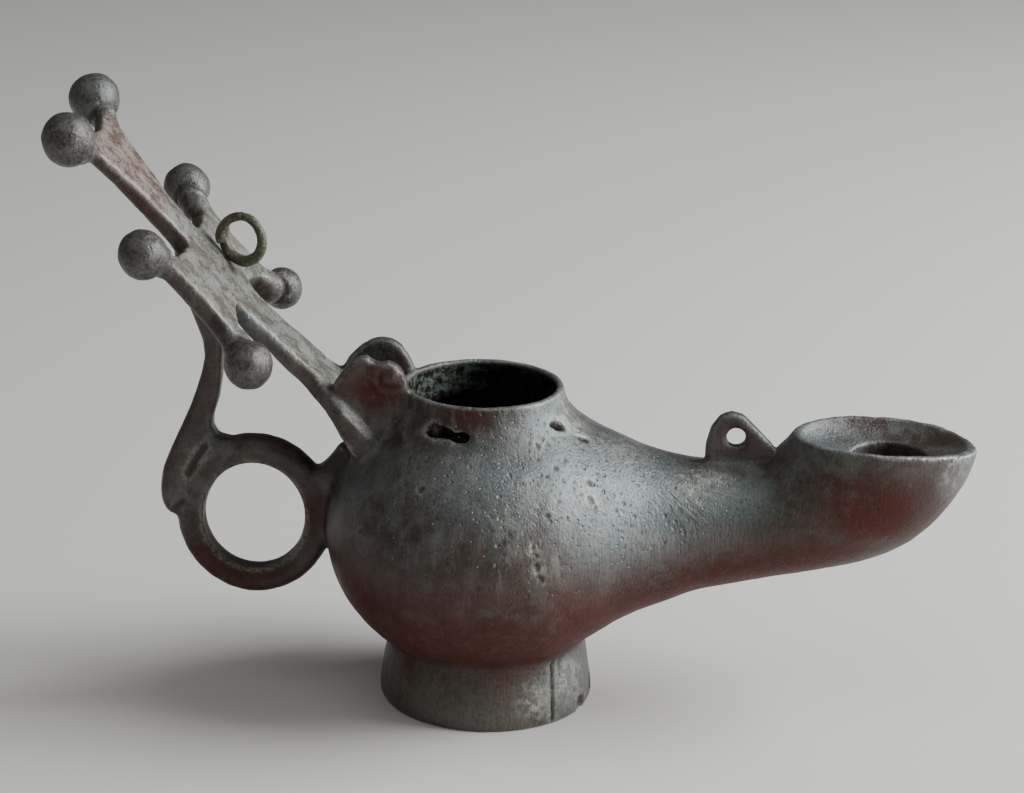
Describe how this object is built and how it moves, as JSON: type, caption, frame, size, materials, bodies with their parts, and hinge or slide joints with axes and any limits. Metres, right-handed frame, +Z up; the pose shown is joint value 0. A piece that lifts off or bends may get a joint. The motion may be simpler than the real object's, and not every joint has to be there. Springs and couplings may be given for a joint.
{
  "type": "oil lamp",
  "caption": "Ancient bronze oil lamp: globe body on a ring foot, long spout with an oval bowl, filling collar, finger ring and a leaning cross handle with ball knobs.",
  "frame": {"origin": "middle of the lamp's length and width, at the level of the foot's underside", "axes": "+X along the lamp towards the spout's tip, +Y across it away from the side with the holes below the collar, +Z up"},
  "size_m": [0.1826, 0.0646, 0.1228],
  "materials": {
    "bronze": "dark brown and grey-green corroded patina, worn to a dull sheen",
    "ring_bronze": "olive-green patina"
  },
  "bodies": {
    "root": {"lamp": "bronze", "suspension_ring": "ring_bronze"}
  },
  "joints": []
}
